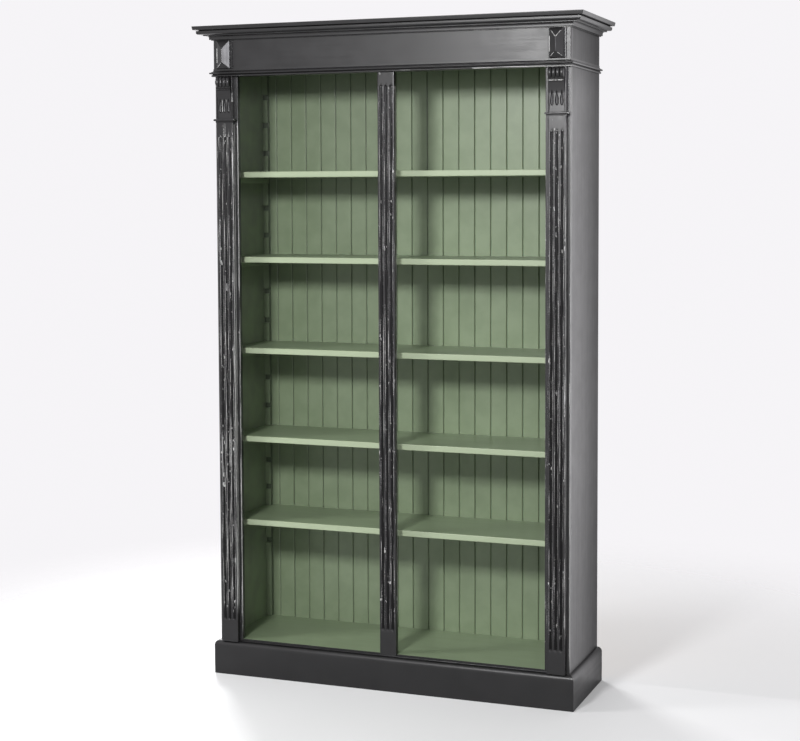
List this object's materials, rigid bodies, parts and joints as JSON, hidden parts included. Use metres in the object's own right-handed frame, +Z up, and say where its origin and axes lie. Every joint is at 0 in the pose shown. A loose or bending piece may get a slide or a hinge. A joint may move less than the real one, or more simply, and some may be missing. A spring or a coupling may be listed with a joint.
{
  "type": "wall shelving unit",
  "caption": "Tall open bookcase with fluted pilasters, carved corbels, a moulded cornice and loose shelves on cleats in notched racks.",
  "frame": {"origin": "on the floor, under the middle of the overall box, cornice included", "axes": "+Z up, +X to the right seen from the front, +Y from the front to the back"},
  "size_m": [1.346, 0.41, 2.2],
  "materials": {
    "anthracite_paint": "satin anthracite paint on pine, rubbed through to a pale ground on edges and in the flutes",
    "sage_paint": "satin sage green paint on pine with faint brush marks",
    "bare_pine": "planed pine, unpainted"
  },
  "bodies": {
    "case": {"side_panel_left": "anthracite_paint", "side_panel_right": "anthracite_paint", "floor_board": "sage_paint", "roof_board": "anthracite_paint", "rear_rail": "bare_pine", "glue_blocks": "bare_pine", "stile_left": "anthracite_paint", "stile_right": "anthracite_paint", "top_rail": "anthracite_paint", "bottom_rail": "bare_pine", "centre_stile": "anthracite_paint", "plinth_front": "anthracite_paint", "plinth_left": "anthracite_paint", "plinth_right": "anthracite_paint", "sill_bead": "anthracite_paint", "pilaster_left": "anthracite_paint", "pilaster_right": "anthracite_paint", "neck_moulding_left": "anthracite_paint", "neck_moulding_right": "anthracite_paint", "corbels": "anthracite_paint", "frieze_board": "anthracite_paint", "rosette_left": "anthracite_paint", "rosette_right": "anthracite_paint", "architrave_front": "anthracite_paint", "architrave_left": "anthracite_paint", "architrave_right": "anthracite_paint", "cornice_front": "anthracite_paint", "cornice_left": "anthracite_paint", "cornice_right": "anthracite_paint", "back_board_1": "sage_paint", "back_board_2": "sage_paint", "back_board_3": "sage_paint", "back_board_4": "sage_paint", "back_board_5": "sage_paint", "back_board_6": "sage_paint", "back_board_7": "sage_paint", "back_board_8": "sage_paint", "back_board_9": "sage_paint", "back_board_10": "sage_paint", "back_board_11": "sage_paint", "front_rack_left": "sage_paint", "front_rack_right": "sage_paint", "back_rack_left": "sage_paint", "back_rack_right": "sage_paint"},
    "shelf_1": {"shelf_1": "sage_paint"},
    "shelf_2": {"shelf_2": "sage_paint"},
    "shelf_3": {"shelf_3": "sage_paint"},
    "shelf_4": {"shelf_4": "sage_paint"},
    "shelf_5": {"shelf_5": "sage_paint"},
    "cleat_1_left": {"cleat_1_left": "sage_paint"},
    "cleat_1_right": {"cleat_1_right": "sage_paint"},
    "cleat_2_left": {"cleat_2_left": "sage_paint"},
    "cleat_2_right": {"cleat_2_right": "sage_paint"},
    "cleat_3_left": {"cleat_3_left": "sage_paint"},
    "cleat_3_right": {"cleat_3_right": "sage_paint"},
    "cleat_4_left": {"cleat_4_left": "sage_paint"},
    "cleat_4_right": {"cleat_4_right": "sage_paint"},
    "cleat_5_left": {"cleat_5_left": "sage_paint"},
    "cleat_5_right": {"cleat_5_right": "sage_paint"}
  },
  "joints": [
    {"name": "shelf_1_lift", "type": "slide", "parent": "case", "child": "shelf_1", "axis": [0, 0, 1], "range_m": [0, 0.2492]},
    {"name": "shelf_2_lift", "type": "slide", "parent": "case", "child": "shelf_2", "axis": [0, 0, 1], "range_m": [0, 0.2642]},
    {"name": "shelf_3_lift", "type": "slide", "parent": "case", "child": "shelf_3", "axis": [0, 0, 1], "range_m": [0, 0.2712]},
    {"name": "shelf_4_lift", "type": "slide", "parent": "case", "child": "shelf_4", "axis": [0, 0, 1], "range_m": [0, 0.2492]},
    {"name": "shelf_5_lift", "type": "slide", "parent": "case", "child": "shelf_5", "axis": [0, 0, 1], "range_m": [0, 0.462]},
    {"name": "cleat_1_left_slide", "type": "slide", "parent": "case", "child": "cleat_1_left", "axis": [1, 0, 0], "range_m": [0, 0.021]},
    {"name": "cleat_1_right_slide", "type": "slide", "parent": "case", "child": "cleat_1_right", "axis": [-1, 0, 0], "range_m": [0, 0.021]},
    {"name": "cleat_2_left_slide", "type": "slide", "parent": "case", "child": "cleat_2_left", "axis": [1, 0, 0], "range_m": [0, 0.021]},
    {"name": "cleat_2_right_slide", "type": "slide", "parent": "case", "child": "cleat_2_right", "axis": [-1, 0, 0], "range_m": [0, 0.021]},
    {"name": "cleat_3_left_slide", "type": "slide", "parent": "case", "child": "cleat_3_left", "axis": [1, 0, 0], "range_m": [0, 0.021]},
    {"name": "cleat_3_right_slide", "type": "slide", "parent": "case", "child": "cleat_3_right", "axis": [-1, 0, 0], "range_m": [0, 0.021]},
    {"name": "cleat_4_left_slide", "type": "slide", "parent": "case", "child": "cleat_4_left", "axis": [1, 0, 0], "range_m": [0, 0.021]},
    {"name": "cleat_4_right_slide", "type": "slide", "parent": "case", "child": "cleat_4_right", "axis": [-1, 0, 0], "range_m": [0, 0.021]},
    {"name": "cleat_5_left_slide", "type": "slide", "parent": "case", "child": "cleat_5_left", "axis": [1, 0, 0], "range_m": [0, 0.021]},
    {"name": "cleat_5_right_slide", "type": "slide", "parent": "case", "child": "cleat_5_right", "axis": [-1, 0, 0], "range_m": [0, 0.021]}
  ]
}
